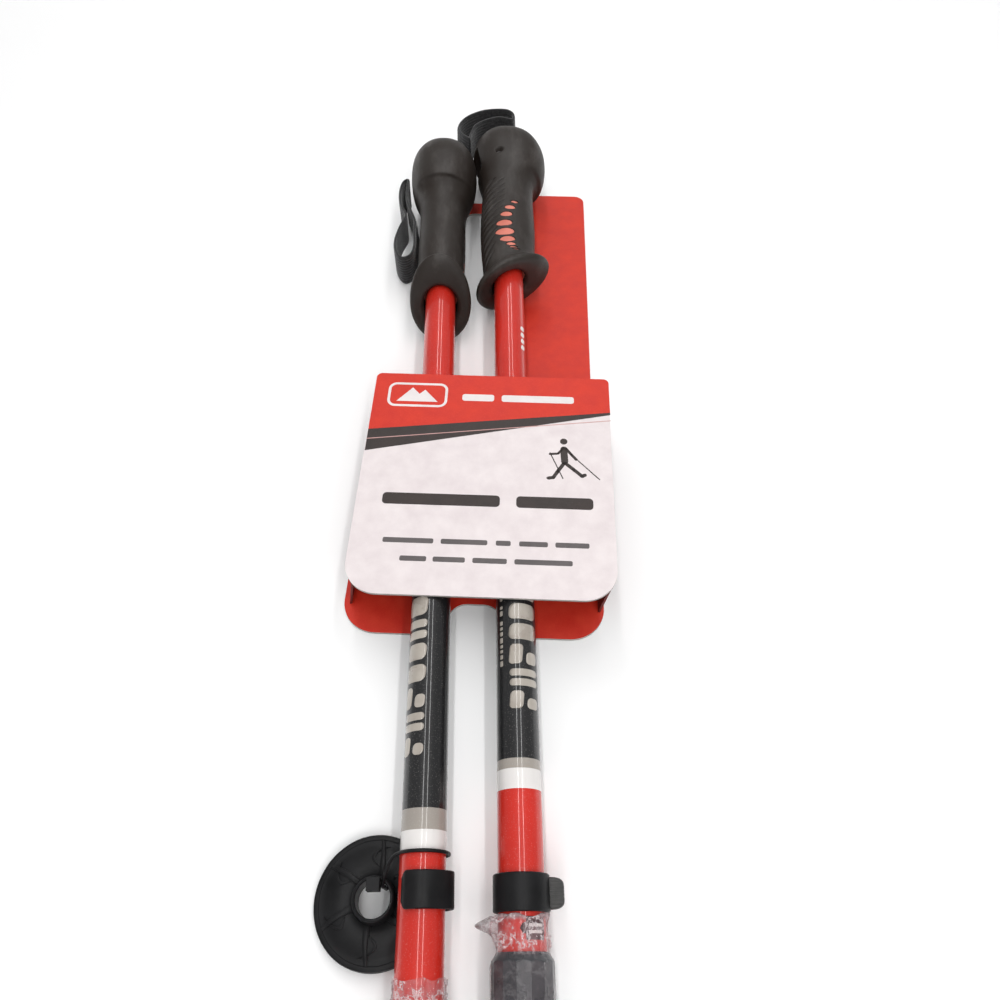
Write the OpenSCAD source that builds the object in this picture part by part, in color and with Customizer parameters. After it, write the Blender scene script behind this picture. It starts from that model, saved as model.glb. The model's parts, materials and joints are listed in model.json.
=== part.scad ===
// A pair of three-section trekking poles with twist locks, collapsed and lying
// side by side in their cardboard carrying sleeve, with a basket tied to one pole.
//
// +Y runs along the poles towards the grips, +Z is up, and the origin is on the
// ground under the middle of the whole bundle.
//
// A pole is drawn in its own frame: its axis is Y, station 0 is where the tube
// leaves the grip's flange, the grip is at positive stations and the tip at
// negative ones. In that frame +X is the grip's front and +Z one of its sides.

/* [Tubes] */
// Outer diameter of the upper tube
upper_od = 18; // [16:0.5:20]
// Outer diameter of the middle tube
middle_od = 16; // [15:0.1:16.2]
// Outer diameter of the lower tube
lower_od = 14; // [13:0.1:14.2]
// Wall of every tube
tube_wall = 0.7; // [0.6:0.05:0.8]
// Length of upper tube below the grip's flange
upper_length = 378; // [360:1:400]
// Depth of the upper tube inside the grip
upper_in_grip = 95; // [80:1:95]

/* [Grip] */
// Length of the grip above the flange hole
grip_length = 152; // [148:1:158]
// Front to palm width of the hand grip
grip_depth = 35; // [33:0.5:37]
// Side to side width of the hand grip
grip_width = 29; // [28:0.5:31]
// Front to palm width of the head
head_depth = 50; // [48:0.5:51]
// Side to side width of the head
head_width = 44.8; // [43:0.2:45]
// Slant of the hand rest flange
flange_slant = 27.8; // [20:0.2:32]

/* [Twist collars] */
// Diameter over the flats of the upper twist collar
collar_od = 22.6; // [21.5:0.1:23]
// Length of the upper twist collar
collar_length = 45; // [40:1:46]
// Number of flats on a twist collar
collar_flats = 14; // [14:1:18]
// Length of the lower twist collar
lower_collar_length = 34; // [28:1:36]

/* [Foot] */
// Diameter of the rubber foot
foot_od = 22; // [20:0.5:22]
// Length of the rubber foot
foot_length = 46; // [42:1:46]

/* [Lie of the poles] */
// Rise of the poles towards the grips
pole_tilt = 1.3; // [1.25:0.01:1.35]
// Angle by which each pole splays outwards
pole_splay = 0.35; // [0.35:0.01:0.5]
// Spacing of the pole axes at the flanges
pole_spacing = 41.6; // [41.6:0.1:44]
// How far the left pole is set back towards the tips
pole_stagger = 18.4; // [16:0.2:20]

/* [Sleeve] */
// Width of the front panel
panel_width = 126; // [124:1:130]
// Height of the front panel
panel_height = 132; // [128:1:136]
// Thickness of the card
card_thickness = 1.4; // [1:0.1:1.5]
// Clockwise turn of the sleeve on the poles
card_turn = 3; // [2:0.1:3.5]

/* [Basket] */
// Diameter of the basket
basket_od = 48; // [46:0.5:52]
// Height of the basket's hub above the ground
basket_height = 12; // [11:0.5:12]

/* [Hidden] */

$fn = 48;
hull_fn = 32;
fit_gap = 0.02;                  // parts of one body that touch
run_gap = 0.05;                  // parts that slide or turn in each other
clear_gap = 0.3;                 // parts that only pass each other
past = 1;                        // overshoot of a cutting tool

left = 0;
right = 1;

// Where each pole stands. Station 0 of the right pole is flange_y from the foot
// of the sleeve's own measuring line, and both tips rest on their rubber feet.
flange_y = 372;
foot_end = -545;
axis_height = foot_od / 2 - foot_end * sin(pole_tilt);
pole_x = [-pole_spacing / 2, pole_spacing / 2];
pole_y = [flange_y - pole_stagger, flange_y];
pole_turn = [pole_splay, -pole_splay];
grip_roll = [-90, 0];            // the left grip lies palm down, the right on its side

// Shift that brings the middle of the bundle's box over the origin
centre_x = 7.16;
centre_y = 176.4;

upper_id = upper_od - 2 * tube_wall;
middle_id = middle_od - 2 * tube_wall;
lower_id = lower_od - 2 * tube_wall;

// Grip
flange_front = 25.6;             // reach of the flange from the axis
flange_palm = 20;
flange_width = 37;
flange_edge = 6.5;
core_od = 24;
core_start = 9;
core_top = 98;
flange_hole = 21;
head_offset = 1.6;               // the head leans towards the front
pocket_width = 24.4;
pocket_low = 101;
pocket_high = 125;
pocket_back = 2;
pin_station = 108;
pin_x = -5;
pin_od = 4;
pin_length = 36;
strap_width = 22;
strap_thickness = 1.8;

// Collars
collar_start = -356;
collar_shoulder = 4;
lower_collar_start = -404;
lower_collar_od = 20;
bush_length = 19;
film_start = -344.5;
film_end = -403;
film_wall = 0.3;

// Snap clips
clip_width = 13;
clip_wall = 1.8;
clip_mouth = 13;                 // gap at the underside through which it snaps on
clip_end = [-323.5, -343];
lip_length = 5;

// Telescoping sections
middle_top = 10;
middle_end = -438;
lower_top = -55;
lower_end = -466;
plug_length = 18;
stud_r = 2.5;
stud_length = 37;
stud_head = 3;
expander_length = 26;
expander_floor = 5;
cone_slope = 0.12;
cone_small_r = 3.4;
cone_play = 3.2;                 // axial room between the open cone and its seat

// Tip
ferrule_start = -449;
ferrule_end = -520;
ferrule_r = 8.4;
thread_r = 6.6;
thread_start = -478;
nose_r = 6;
carbide_r = 3;
carbide_start = -506;
carbide_end = -531;

// Sleeve, measured from the middle of the front panel's top edge, as seen lying flat
card_x = 9.9;
card_y = 284.6;
card_top_z = axis_height - (pole_y[left] - card_y) * sin(pole_tilt) + upper_od / 2 + clear_gap;
back_shift = -3.8;
back_width = 127;
back_bottom = -138.6;
tower_right = 57.5;
tower_top = 211;
strip_top = 200;
strip_low = 188;
column_left = -38;
window_left = -27;
window_right = 6;
window_low = -30;
notch_middle = -3;
notch_width = 26;
notch_top = -122;
side_low = -124;

// Basket, in a level frame under the left pole
basket_station = -319;
basket_side = 19.2;              // from the pole's axis
basket_hub_od = 17;
basket_hub_id = 13.5;
basket_hub_low = 1.9;
rim_width = 2.5;
rim_height = 4.6;
web_low = 2.8;
web_high = 4;
tie_r = 0.7;
basket_ground = -(axis_height + basket_station * sin(pole_tilt));

red = "#d3241c";
black = "#1d1c1e";
charcoal = "#3a3b3e";
alloy = "#b9bcc0";

// ---------------------------------------------------------------- placing

// Into the finished frame from the frame that the poles are laid out in
module bundle() {
    translate([-centre_x, -centre_y, 0]) children();
}

// Into a pole's own frame
module on_pole(pole) {
    bundle()
        translate([pole_x[pole], pole_y[pole], axis_height])
            rotate([pole_tilt, 0, 0])
                rotate([0, 0, pole_turn[pole]])
                    children();
}

// A grip turned about its pole
module on_grip(pole) {
    on_pole(pole) rotate([0, grip_roll[pole], 0]) children();
}

// A level frame whose origin is on the left pole's axis at the basket
module on_basket() {
    bundle()
        translate([
            pole_x[left] - basket_station * sin(pole_turn[left]),
            pole_y[left] + basket_station, -basket_ground
        ])
            children();
}

// The sleeve's flat layout, lying on the ground
module on_card() {
    bundle() translate([card_x, card_y, 0]) rotate([0, 0, -card_turn]) children();
}

// The front panel's plane, resting on the poles
module on_panel() {
    bundle()
        translate([card_x, card_y, card_top_z])
            rotate([pole_tilt, 0, 0])
                rotate([0, 0, -card_turn])
                    children();
}

// ---------------------------------------------------------------- shapes

// A round bar along the pole from one station to another
module bar(from, to, r, r2 = -1) {
    translate([0, min(from, to), 0])
        rotate([-90, 0, 0])
            cylinder(h = abs(to - from), r1 = r, r2 = r2 < 0 ? r : r2);
}

// A tube along the pole
module pipe(from, to, od, id) {
    difference() {
        bar(from, to, od / 2);
        bar(from - past, to + past, id / 2);
    }
}

// A ring turned from a profile of [radius, station] points
module turned(profile) {
    rotate([-90, 0, 0]) rotate_extrude() polygon(profile);
}

// A thin oval slice across the pole
module oval(station, depth, width, shift = 0, slice = 0.6) {
    translate([shift, station, 0])
        rotate([-90, 0, 0])
            scale([1, width / depth, 1])
                cylinder(h = slice, r = depth / 2, $fn = hull_fn);
}

// A prism with flats, along the pole
module flatted(from, to, across, flats) {
    corner = across / 2 / cos(180 / flats);
    ring = [for (i = [0:flats - 1]) corner * [cos(i * 360 / flats), sin(i * 360 / flats)]];
    translate([0, from, 0]) rotate([-90, 0, 0]) linear_extrude(to - from) polygon(ring);
}

// A rectangle with one radius at its two low corners and another at its high ones
module rounded(left_x, right_x, low_y, high_y, low_r, high_r) {
    hull() {
        for (side = [left_x + low_r, right_x - low_r])
            translate([side, low_y + low_r]) circle(low_r, $fn = 64);
        for (side = [left_x + high_r, right_x - high_r])
            translate([side, high_y - high_r]) circle(high_r, $fn = 32);
    }
}

// Point on a smooth closed curve through a row of points, at t points from the first
function on_loop(points, t) =
    let (n = len(points), i = floor(t), u = t - i,
        a = points[(i - 1 + n) % n], b = points[i % n], c = points[(i + 1) % n],
        d = points[(i + 2) % n])
    b + u / 2 * (c - a) + u * u / 2 * (2 * a - 5 * b + 4 * c - d)
        + u * u * u / 2 * (3 * b - a - 3 * c + d);

// A round strand along the smooth closed curve through a row of points. The
// curve never runs along Y, so Y serves to turn every ring the same way.
module strand(points, r, sides = 8, steps = 3) {
    rings = len(points) * steps;
    corners = [
        for (k = [0:rings - 1])
            let (at = on_loop(points, k / steps),
                ahead = on_loop(points, k / steps + 0.1) - at,
                out = cross(ahead, [0, 1, 0]), u = out / norm(out),
                side = cross(ahead, u), v = side / norm(side))
                for (a = [0:360 / sides:359]) at + r * (cos(a) * u + sin(a) * v)
    ];
    faces = [
        for (k = [0:rings - 1], i = [0:sides - 1])
            let (here = k * sides, next = (k + 1) % rings * sides, j = (i + 1) % sides)
                [here + i, here + j, next + j, next + i]
    ];
    polyhedron(corners, faces);
}

// A standing loop of webbing whose centre line is a closed outline
module webbing(outline, low, high) {
    translate([0, 0, low])
        linear_extrude(high - low)
            difference() {
                offset(r = strap_thickness / 2, $fn = 24) polygon(outline);
                offset(r = -strap_thickness / 2, $fn = 24) polygon(outline);
            }
}

// ---------------------------------------------------------------- grip

module grip(pole) {
    flange_depth = flange_front + flange_palm;
    flange_middle = (flange_front - flange_palm) / 2;
    color(black)
        on_grip(pole)
            difference() {
                union() {
                    // hand rest flange
                    hull()
                        translate([flange_middle, 0, 0])
                            rotate([0, 0, flange_slant]) {
                                oval(-flange_edge / 2, flange_depth - 2, flange_width - 6);
                                oval(-0.6, flange_depth / cos(flange_slant), flange_width);
                                oval(flange_edge / 2, flange_depth - 3, flange_width - 8);
                            }
                    // neck between the flange and the hand
                    hull() {
                        translate([1, 2, 0])
                            rotate([0, 0, flange_slant]) oval(1, 36, 31);
                        oval(26, grip_depth - 1.5, grip_width);
                    }
                    // hand grip
                    hull() {
                        oval(20, grip_depth - 2.5, grip_width - 0.6);
                        oval(50, grip_depth, grip_width + 0.4);
                        oval(84, grip_depth - 2, grip_width);
                    }
                    // head
                    hull() {
                        oval(82, grip_depth - 2, grip_width);
                        oval(101, head_depth - 6.6, head_width - 6, head_offset + 0.9);
                        oval(113, head_depth - 1.6, head_width - 1, head_offset + 1.2);
                        oval(126, head_depth, head_width, head_offset);
                        oval(139, head_depth - 8, head_width - 7, head_offset);
                        oval(147, head_depth - 20, head_width - 18, head_offset);
                        oval(grip_length - 0.6, head_depth - 36, head_width - 33, head_offset);
                    }
                }
                bar(-40, core_start, flange_hole / 2);
                bar(core_start - fit_gap, core_top + fit_gap, core_od / 2 + fit_gap);
                // pocket for the strap's end and its wedge
                translate([-40, pocket_low, -pocket_width / 2])
                    cube([40 + pocket_back, pocket_high - pocket_low, pocket_width]);
                translate([pin_x, pin_station, 0])
                    cylinder(h = pin_length + 2 * fit_gap, r = pin_od / 2 + fit_gap, center = true);
            }
}

module grip_core(pole) {
    color("#b8453c")
        on_grip(pole)
            difference() {
                bar(core_start, core_top, core_od / 2);
                bar(core_start - past, upper_in_grip + fit_gap, upper_od / 2 + fit_gap);
            }
}

module strap_pin(pole) {
    color(alloy)
        on_grip(pole)
            translate([pin_x, pin_station, 0])
                cylinder(h = pin_length, r = pin_od / 2, center = true);
}

// The strap's folded end round the pin
module strap_tail(pole) {
    inner_r = pin_od / 2 + run_gap;
    outer_r = inner_r + strap_thickness;
    reach = 12.5;
    color(black)
        on_grip(pole)
            translate([pin_x, pin_station, -strap_width / 2])
                difference() {
                    union() {
                        cylinder(h = strap_width, r = outer_r);
                        translate([-reach, -outer_r, 0]) cube([reach, 2 * outer_r, strap_width]);
                    }
                    translate([0, 0, -past]) cylinder(h = strap_width + 2 * past, r = inner_r);
                    translate([-reach - past, -inner_r, -past])
                        cube([reach + past, 2 * inner_r, strap_width + 2 * past]);
                }
}

// The wedge that clamps the strap in its pocket
module strap_lock(pole) {
    low = pin_station + pin_od / 2 + run_gap + strap_thickness + clear_gap;
    high = pocket_high - clear_gap;
    color(charcoal)
        on_grip(pole)
            translate([0, 0, -strap_width / 2])
                linear_extrude(strap_width)
                    polygon([
                        [-17.5, low + 0.8], [-16.7, low], [-5, low], [-1, high - 3],
                        [-1, high], [-16.5, high], [-17.5, high - 1]
                    ]);
}

// Left: the loop lies beside the grip, along the ground. Right: it stands
// bunched behind the head. Both are drawn in their pole's unrolled frame.
strap_loop = [
    [
        [-26.6, 126], [-29.2, 122], [-30.8, 112], [-29.8, 98], [-26.2, 86], [-29.6, 74],
        [-31.6, 60], [-29.8, 48], [-25.8, 43], [-20.8, 46], [-18.8, 56], [-19.2, 70],
        [-18.9, 80], [-22.8, 93], [-26.2, 107]
    ],
    [
        [-24.8, 133.6], [-29.8, 139], [-33, 149], [-27, 161], [-14, 170.6], [0, 171.4],
        [7, 166], [5.6, 158.6], [-4, 161], [-14, 158.4], [-20.6, 152], [-23.4, 144]
    ]
];
strap_low = [3, 17];             // height of the webbing's lower edge above the ground

module wrist_strap(pole) {
    color("#232225")
        bundle()
            translate([pole_x[pole], pole_y[pole], 0])
                webbing(strap_loop[pole], strap_low[pole], strap_low[pole] + strap_width);
}

// ---------------------------------------------------------------- sections

module upper_tube(pole) {
    color(red) on_pole(pole) pipe(-upper_length, upper_in_grip, upper_od, upper_id);
}

module middle_tube(pole) {
    color(alloy) on_pole(pole) pipe(middle_end, middle_top, middle_od, middle_id);
}

module lower_tube(pole) {
    color(alloy) on_pole(pole) pipe(lower_end, lower_top, lower_od, lower_id);
}

// Upper collar: flats outside, one seat for the tube and one for the bush
module twist_collar(pole) {
    end = collar_start - collar_length;
    radius = collar_od / 2 + 1;
    color(charcoal)
        on_pole(pole)
            difference() {
                intersection() {
                    flatted(end, collar_start, collar_od, collar_flats);
                    turned([
                        [0, end], [radius - 2.5, end], [radius, end + 3],
                        [radius, collar_start - collar_shoulder],
                        [upper_od / 2 + 0.6, collar_start], [0, collar_start]
                    ]);
                }
                bar(-upper_length - fit_gap, collar_start + past, upper_od / 2 + fit_gap);
                bar(end - past, -upper_length, upper_od / 2 - 0.08);
            }
}

// Plastic bush that guides the middle tube
module collar_bush(pole) {
    seat = -upper_length - 2 * fit_gap;
    color("#8a8c90")
        on_pole(pole)
            pipe(seat - bush_length, seat, upper_od - 0.2, middle_od + 2 * run_gap);
}

// Lower collar: turned in one piece with its own guide for the lower tube
module lower_collar(pole) {
    end = lower_collar_start - lower_collar_length;
    radius = lower_collar_od / 2 + 1;
    step = lower_collar_start - lower_collar_length + 9;
    color(charcoal)
        on_pole(pole)
            difference() {
                intersection() {
                    flatted(end - 6, lower_collar_start, lower_collar_od, collar_flats);
                    turned([
                        [0, end - 6], [radius - 2.5, end - 6], [radius, end],
                        [radius, lower_collar_start - collar_shoulder],
                        [middle_od / 2 + 0.6, lower_collar_start], [0, lower_collar_start]
                    ]);
                }
                bar(middle_end - fit_gap, lower_collar_start + past, middle_od / 2 + fit_gap);
                bar(end - 6 - past, step, lower_od / 2 + run_gap);
            }
}

// Stud of a twist lock, with the plug that holds it in its tube
module lock_stud(pole, top, tube_od, tube_id) {
    color("#c9b27a")
        on_pole(pole) {
            bar(top - plug_length, top + fit_gap, tube_id / 2 - fit_gap);
            bar(top + fit_gap, top + 2, tube_od / 2);
            bar(top + 2, top + stud_length, stud_r);
            bar(top + stud_length, top + stud_length + stud_head, stud_r + 1.5);
        }
}

// Split plastic sleeve of a twist lock: a bore for the stud and a tapered seat
module lock_expander(pole, top, host_id) {
    low = top + 3;
    seat = low + expander_floor;
    high = low + expander_length;
    color("#e8e6df")
        on_pole(pole)
            difference() {
                bar(low, high, host_id / 2 - run_gap);
                bar(low - past, high, stud_r + run_gap);
                bar(seat, high, cone_small_r, cone_small_r + (high - seat) * cone_slope);
                for (i = [0:2])
                    translate([0, seat + 2, 0])
                        rotate([0, i * 120, 0])
                            translate([0, 0, -0.75]) cube([host_id, expander_length, 1.5]);
            }
}

// Tapered nut that the stud draws into the expander
module lock_cone(pole, top) {
    low = top + 17;
    high = top + 33;
    seat = top + 3 + expander_floor + cone_play;
    color("#8c8f94")
        on_pole(pole)
            difference() {
                bar(low, high,
                    cone_small_r + (low - seat) * cone_slope,
                    cone_small_r + (high - seat) * cone_slope);
                bar(low - past, high + past, stud_r + run_gap);
            }
}

module middle_stud(pole) { lock_stud(pole, middle_top, middle_od, middle_id); }
module middle_expander(pole) { lock_expander(pole, middle_top, upper_id); }
module middle_cone(pole) { lock_cone(pole, middle_top); }
module lower_stud(pole) { lock_stud(pole, lower_top, lower_od, lower_id); }
module lower_expander(pole) { lock_expander(pole, lower_top, middle_id); }
module lower_cone(pole) { lock_cone(pole, lower_top); }

// ---------------------------------------------------------------- tip

// Moulded tip: seat for the tube, collar and thread for a basket, plain nose
module tip_ferrule(pole) {
    color(black)
        on_pole(pole)
            difference() {
                turned([
                    [0, ferrule_end], [nose_r - 1, ferrule_end], [nose_r, ferrule_end + 2],
                    [nose_r, thread_start - 20], [thread_r, thread_start - 19],
                    [thread_r, thread_start], [ferrule_r + 1.6, thread_start + 0.6],
                    [ferrule_r + 1.6, thread_start + 3], [ferrule_r, thread_start + 6],
                    [ferrule_r, ferrule_start - 2], [ferrule_r - 0.6, ferrule_start],
                    [0, ferrule_start]
                ]);
                bar(lower_end - fit_gap, ferrule_start + past, lower_od / 2 + fit_gap);
                bar(ferrule_end - past, carbide_start + fit_gap, carbide_r + fit_gap);
            }
}

module carbide_tip(pole) {
    color("#777a80")
        on_pole(pole)
            turned([
                [0, carbide_end + 0.8], [1.2, carbide_end], [2.4, carbide_end + 1],
                [carbide_r, carbide_end + 5], [carbide_r, carbide_start], [0, carbide_start]
            ]);
}

// Rubber foot pushed over the nose of the tip
module rubber_foot(pole) {
    mouth = foot_end + foot_length;
    r = foot_od / 2;
    color("#2b2a2c")
        on_pole(pole)
            difference() {
                turned([
                    [0, foot_end], [r, foot_end], [r, foot_end + 9], [r - 1.2, foot_end + 11],
                    [r - 1.8, mouth - 6], [r - 1.2, mouth - 4], [r - 1.2, mouth], [0, mouth]
                ]);
                bar(ferrule_end - clear_gap, mouth + past, nose_r + run_gap);
                bar(carbide_end - clear_gap, ferrule_end, carbide_r + 0.2);
            }
}

// ---------------------------------------------------------------- packing

// Snap-on clip: an open ring round the tube with a small lip at one side
module snap_clip(pole) {
    low = clip_end[pole];
    inner_r = upper_od / 2 + run_gap;
    outer_r = inner_r + clip_wall;
    color(black)
        on_pole(pole)
            difference() {
                union() {
                    bar(low, low + clip_width, outer_r);
                    translate([inner_r, low + 1, -2.5])
                        cube([clip_wall + lip_length * pole + 1, clip_width - 2, 5]);
                }
                bar(low - past, low + clip_width + past, inner_r);
                translate([-clip_mouth / 2, low - past, -outer_r - past])
                    cube([clip_mouth, clip_width + 2 * past, outer_r]);
            }
}

// Clear film gathered on the tube and loose round the collar
module film_sleeve(pole) {
    tight = upper_od / 2 + 0.2;
    loose = collar_od / 2 / cos(180 / collar_flats) + 0.3;
    color("#dfe5ee", 0.4)
        on_pole(pole)
            turned([
                [tight, film_start], [tight, collar_start + 3], [loose, collar_start - 2],
                [loose, film_end], [loose + film_wall, film_end],
                [loose + film_wall, collar_start - 2], [tight + film_wall, collar_start + 3],
                [tight + film_wall, film_start]
            ]);
}

// Trekking basket lying on the ground, with a slot beside its hub for the tie
module basket() {
    r = basket_od / 2;
    inner_r = r - rim_width;
    hub_r = basket_hub_od / 2;
    bore_r = basket_hub_id / 2;
    tie_angle = 46;
    color(black)
        on_basket()
            translate([-basket_side, 0, basket_ground])
                difference() {
                    union() {
                        rotate_extrude($fn = 96)
                            polygon([
                                [bore_r, basket_hub_low], [hub_r, basket_hub_low],
                                [hub_r, web_low], [inner_r, web_low], [inner_r, 0], [r, 0],
                                [r, rim_height], [inner_r, rim_height], [inner_r, web_high],
                                [hub_r, web_high], [hub_r, basket_height],
                                [bore_r, basket_height]
                            ]);
                        for (i = [0:5])
                            rotate([0, 0, i * 60 + 16])
                                translate([hub_r - 0.6, -1, web_high - 0.6])
                                    cube([inner_r - hub_r + 1.2, 2, rim_height - web_high + 0.3]);
                    }
                    // notches in the rim
                    for (i = [0:11])
                        rotate([0, 0, i * 30])
                            translate([r - 1.2, -1.6, 1.2]) cube([past + 1.2, 3.2, 2.2]);
                    rotate([0, 0, tie_angle])
                        translate([hub_r + 0.1, -3.3, web_low - past])
                            cube([2.7, 6.6, rim_height]);
                }
}

// Cable tie round the left tube and through the basket's hub. Its points are
// hand-set in a level frame on the pole's axis: across, along and up.
tie_ring_r = upper_od / 2 + tie_r + 0.35;
tie_along = 14.4;
tie_rise = tie_along * sin(pole_tilt);
tie_hub_x = -15.4;
tie_hub_y = 4.4;
tie_low = basket_ground + 1;
tie_points = concat(
    [for (a = [-90:30:150]) [tie_ring_r * cos(a), tie_along, tie_ring_r * sin(a) + tie_rise]],
    [
        [-11.4, 13.4, 2.6], [-13.8, 9.6, 0.6], [tie_hub_x, tie_hub_y, -3],
        [tie_hub_x, tie_hub_y, -8], [tie_hub_x, tie_hub_y, tie_low + 1],
        [-13.9, 5.8, tie_low], [-12.6, 7.1, tie_low + 1], [-12.5, 7.2, -12], [-11.4, 8.2, -10.4],
        [-8.4, 10.8, -10.2], [-4, 13.4, -10.2]
    ]
);

module cable_tie() {
    color("#151516") on_basket() strand(tie_points, tie_r);
}

// The tie's square head, against the strand over the basket's hub
module cable_tie_head() {
    head = [5, 4.6, 5.6];
    color("#151516")
        on_basket()
            translate([
                tie_hub_x - tie_r - fit_gap - head[0], tie_hub_y - head[1] / 2,
                basket_ground + basket_height + clear_gap
            ])
                cube(head);
}

// Front panel of the sleeve, over both tubes
module card_front() {
    color("#f3eded")
        on_panel()
            linear_extrude(card_thickness)
                rounded(-panel_width / 2, panel_width / 2, -panel_height, 0, 16, 3);
}

// Back panel with the hanging window and the notch between the tubes
module card_back() {
    color(red)
        on_card()
            linear_extrude(card_thickness)
                difference() {
                    union() {
                        rounded(back_shift - back_width / 2, back_shift + back_width / 2,
                            back_bottom, 0, 17, 3);
                        rounded(column_left, tower_right, -20, strip_top, 2, 2);
                        rounded(window_right + 4, tower_right, -20, tower_top, 2, 7);
                    }
                    rounded(window_left, window_right, window_low, strip_low, 4, 6);
                    translate([notch_middle, 0])
                        rounded(-notch_width / 2, notch_width / 2, back_bottom - 20, notch_top,
                            2, 9);
                }
}

// One side of the sleeve, from the back panel's edge up to the front panel's
module card_side(side) {
    thickness = 1;
    foot_x = back_shift + side * (back_width / 2 - 3);
    head_x = side * (panel_width / 2 - 3.5);
    length = -side_low;
    drop = 0.35;                 // the upper edge stops just under the panel
    color("#5b1512")
        hull() {
            on_card()
                translate([foot_x, side_low, card_thickness + fit_gap])
                    cube([thickness, length - 4, 0.5]);
            on_panel()
                translate([head_x, side_low, -drop - 0.5])
                    cube([thickness, length - 4, 0.5]);
        }
}

module card_left_side() { card_side(-1); }
module card_right_side() { card_side(1); }

// ---------------------------------------------------------------- nodes

grip(left);  // left_grip
grip_core(left);  // left_grip_core
strap_pin(left);  // left_strap_pin
strap_lock(left);  // left_strap_lock
strap_tail(left);  // left_strap_tail
wrist_strap(left);  // left_wrist_strap
upper_tube(left);  // left_upper_tube
twist_collar(left);  // left_twist_collar
collar_bush(left);  // left_collar_bush
snap_clip(left);  // left_snap_clip
film_sleeve(left);  // left_film_sleeve
middle_expander(left);  // left_middle_expander
middle_cone(left);  // left_middle_cone
middle_stud(left);  // left_middle_stud
middle_tube(left);  // left_middle_tube
lower_collar(left);  // left_lower_collar
lower_expander(left);  // left_lower_expander
lower_cone(left);  // left_lower_cone
lower_stud(left);  // left_lower_stud
lower_tube(left);  // left_lower_tube
tip_ferrule(left);  // left_tip_ferrule
carbide_tip(left);  // left_carbide_tip
rubber_foot(left);  // left_rubber_foot
grip(right);  // right_grip
grip_core(right);  // right_grip_core
strap_pin(right);  // right_strap_pin
strap_lock(right);  // right_strap_lock
strap_tail(right);  // right_strap_tail
wrist_strap(right);  // right_wrist_strap
upper_tube(right);  // right_upper_tube
twist_collar(right);  // right_twist_collar
collar_bush(right);  // right_collar_bush
snap_clip(right);  // right_snap_clip
film_sleeve(right);  // right_film_sleeve
middle_expander(right);  // right_middle_expander
middle_cone(right);  // right_middle_cone
middle_stud(right);  // right_middle_stud
middle_tube(right);  // right_middle_tube
lower_collar(right);  // right_lower_collar
lower_expander(right);  // right_lower_expander
lower_cone(right);  // right_lower_cone
lower_stud(right);  // right_lower_stud
lower_tube(right);  // right_lower_tube
tip_ferrule(right);  // right_tip_ferrule
carbide_tip(right);  // right_carbide_tip
rubber_foot(right);  // right_rubber_foot
basket();
cable_tie();
cable_tie_head();
card_front();
card_back();
card_left_side();
card_right_side();
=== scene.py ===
import json
import math
import random

import bmesh
import bpy
from mathutils import Matrix, Vector, noise


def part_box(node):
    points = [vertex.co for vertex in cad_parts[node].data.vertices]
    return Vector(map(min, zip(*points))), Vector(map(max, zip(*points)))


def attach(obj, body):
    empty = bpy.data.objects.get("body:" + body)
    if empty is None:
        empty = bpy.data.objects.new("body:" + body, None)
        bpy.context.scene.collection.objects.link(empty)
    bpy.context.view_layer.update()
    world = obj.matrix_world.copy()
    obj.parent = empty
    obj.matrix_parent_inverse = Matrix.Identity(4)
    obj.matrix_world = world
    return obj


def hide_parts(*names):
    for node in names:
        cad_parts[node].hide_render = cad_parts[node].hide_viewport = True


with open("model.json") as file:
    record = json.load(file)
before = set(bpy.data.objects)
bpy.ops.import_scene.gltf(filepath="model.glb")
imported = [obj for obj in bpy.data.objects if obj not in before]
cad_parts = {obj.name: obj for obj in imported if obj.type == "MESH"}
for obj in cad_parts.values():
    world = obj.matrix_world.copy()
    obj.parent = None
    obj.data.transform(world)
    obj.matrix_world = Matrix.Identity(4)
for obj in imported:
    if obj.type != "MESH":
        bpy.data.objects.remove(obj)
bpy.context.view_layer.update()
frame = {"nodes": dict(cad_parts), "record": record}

# Lengths are in metres, or in mm where a comment or a factor MM says so. A station is a
# distance along a pole from the grip's flange: positive towards the grip's head, negative
# towards the tip.
MM = 0.001
SIDES = ("left", "right")
TUBE_ABOVE = 0.095          # upper tube inside the grip
TUBE_BELOW = 0.378          # upper tube below the flange
TUBE_R = 0.009
GRIP_ROLL = {"left": -90, "right": 0}       # degrees about the pole
JOINTS = {j["name"]: j for j in frame["record"]["behaviour"]["joints"]}
PRINT = 0.00005             # thickness of one layer of print on the card

# -------------------- places


def clamp(value, low=0.0, high=1.0):
    return max(low, min(high, value))


def smooth(low, high, value):
    t = clamp((value - low) / (high - low))
    return t * t * (3 - 2 * t)


def turn(axis, degrees):
    return Matrix.Rotation(math.radians(degrees), 4, axis)


def pole_matrix(side):
    """The pole's own frame: origin at station 0 on its axis, Y along it, Z up."""
    y = Vector(JOINTS[f"{side}_middle_twist"]["axis"]).normalized()
    z = (Vector((0, 0, 1)) - y * y.z).normalized()
    x = y.cross(z)
    low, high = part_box(f"{side}_upper_tube")
    m = Matrix((x, y, z)).transposed().to_4x4()
    m.translation = (Vector(low) + Vector(high)) / 2 + y * (TUBE_BELOW - TUBE_ABOVE) / 2
    return m


POLE = {side: pole_matrix(side) for side in SIDES}
GRIP = {side: POLE[side] @ turn("Y", GRIP_ROLL[side]) for side in SIDES}


def on_pole(side, across, along, up):
    """A point of the pole's own frame, given in mm."""
    return POLE[side] @ (Vector((across, along, up)) * MM)


# -------------------- materials


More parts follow.
